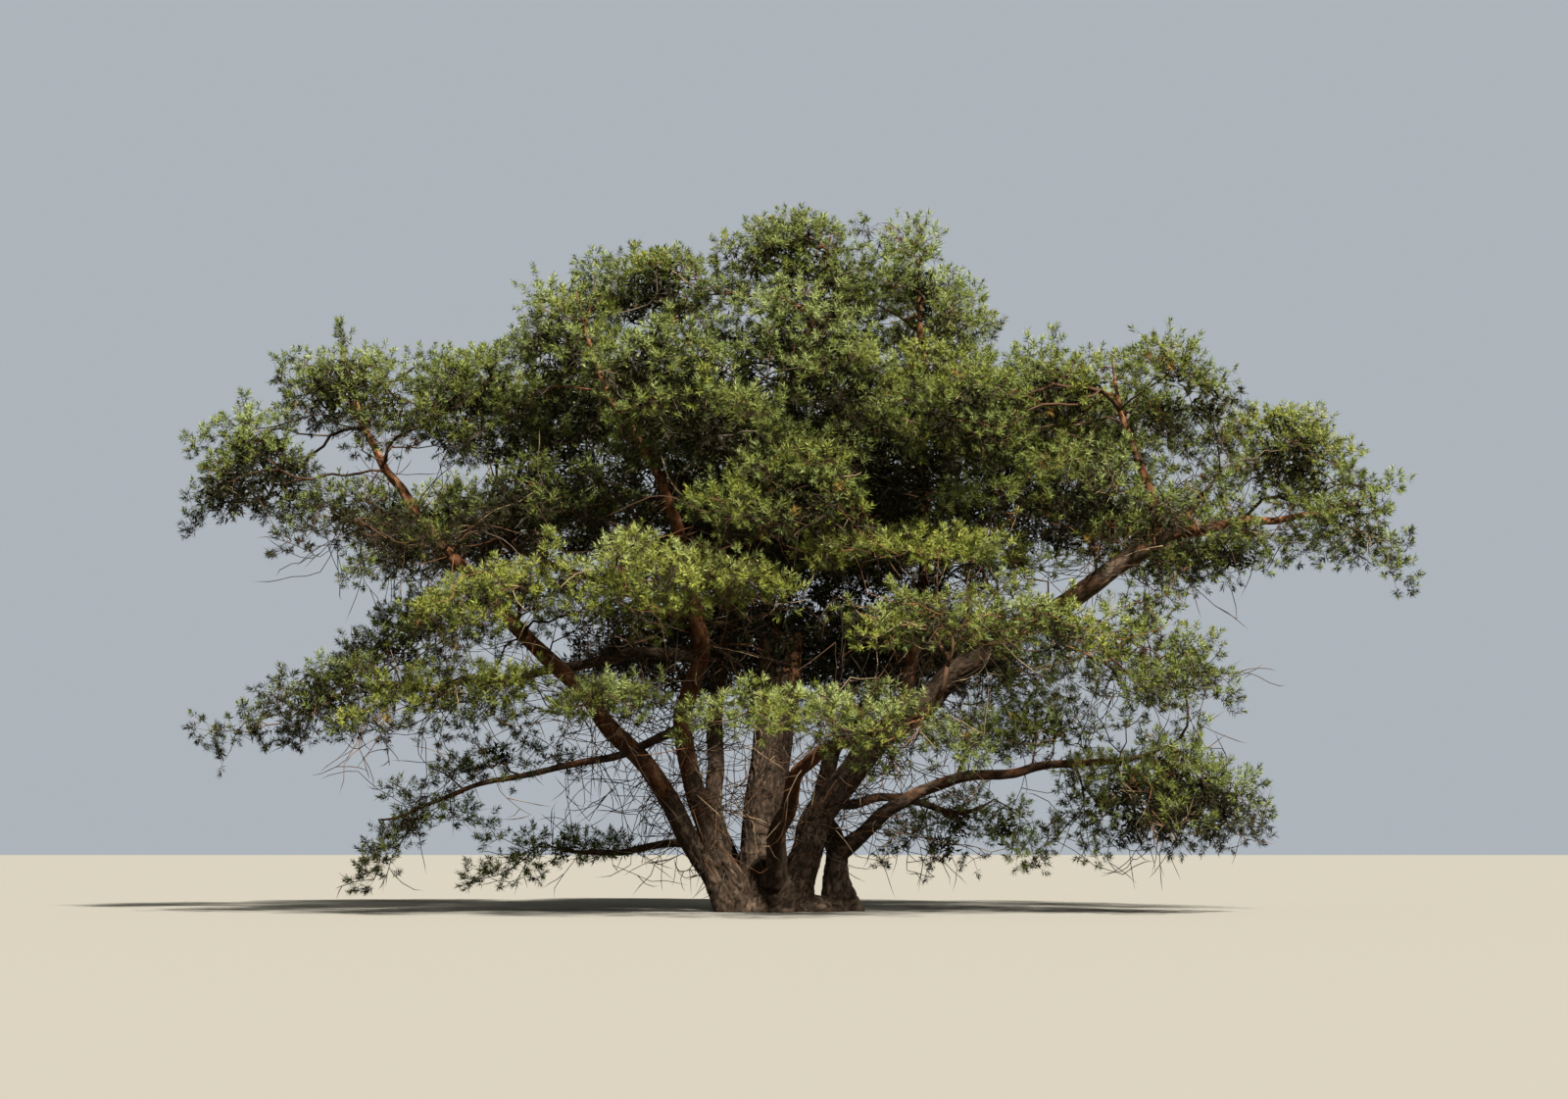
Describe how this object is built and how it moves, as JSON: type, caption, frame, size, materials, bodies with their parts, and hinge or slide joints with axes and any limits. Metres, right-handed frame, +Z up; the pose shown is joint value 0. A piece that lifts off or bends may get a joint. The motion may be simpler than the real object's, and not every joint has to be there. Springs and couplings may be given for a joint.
{
  "type": "scots pine tree",
  "caption": "Wide, low evergreen pine with several leaning stems from one root, a broken-topped trunk and layered masses of needles on spreading boughs.",
  "frame": {"origin": "middle of the flat cut under the trunk, at ground level", "axes": "+Z up the tree, +X to its right and -Y to its front as the picture shows it"},
  "size_m": [9.5, 6.9, 5.46],
  "materials": {
    "old_bark": "rough fissured grey-brown bark",
    "young_bark": "flaky orange-brown bark",
    "needles": "blue-green and yellow-green needles"
  },
  "bodies": {
    "root": {"trunk": "old_bark", "stem_right": "old_bark", "stem_left": "young_bark", "stem_far_left": "young_bark", "stem_back": "old_bark", "stem_far_right": "old_bark", "bough_front": "young_bark", "bough_lowest_left": "old_bark", "bough_right_low": "young_bark", "bough_back_low": "old_bark", "bough_low_left": "young_bark", "bough_left_mid": "young_bark", "bough_back_left": "young_bark", "limb_left_rise": "young_bark", "limb_right_leader": "young_bark", "limb_right_rise": "young_bark", "limb_right_reach": "young_bark", "limb_back": "young_bark", "crown_top": "needles", "crown_top_left": "needles", "crown_top_right": "needles", "crown_left_shoulder": "needles", "crown_front": "needles", "crown_front_right": "needles", "crown_right_front": "needles", "crown_front_low": "needles", "right_inner": "needles", "right_top": "needles", "right_outer": "needles", "right_tip": "needles", "right_core": "needles", "left_inner": "needles", "left_top": "needles", "left_tip": "needles", "left_front": "needles", "left_core": "needles", "mid_left": "needles", "mid_front": "needles", "mid_right_inner": "needles", "mid_right": "needles", "mid_right_tip": "needles", "upper_mid_right": "needles", "low_left_long": "needles", "low_left_top": "needles", "low_left_front": "needles", "low_left_hang": "needles", "lowest_left_tip": "needles", "lowest_left_inner": "needles", "front_low_right": "needles", "front_low_left": "needles", "low_right_outer": "needles", "low_right_top": "needles", "low_right_hang": "needles", "back_upper_left": "needles", "back_upper_right": "needles", "back_left": "needles", "back_right": "needles", "back_centre": "needles", "back_mid_left": "needles", "back_mid_right": "needles"}
  },
  "joints": []
}
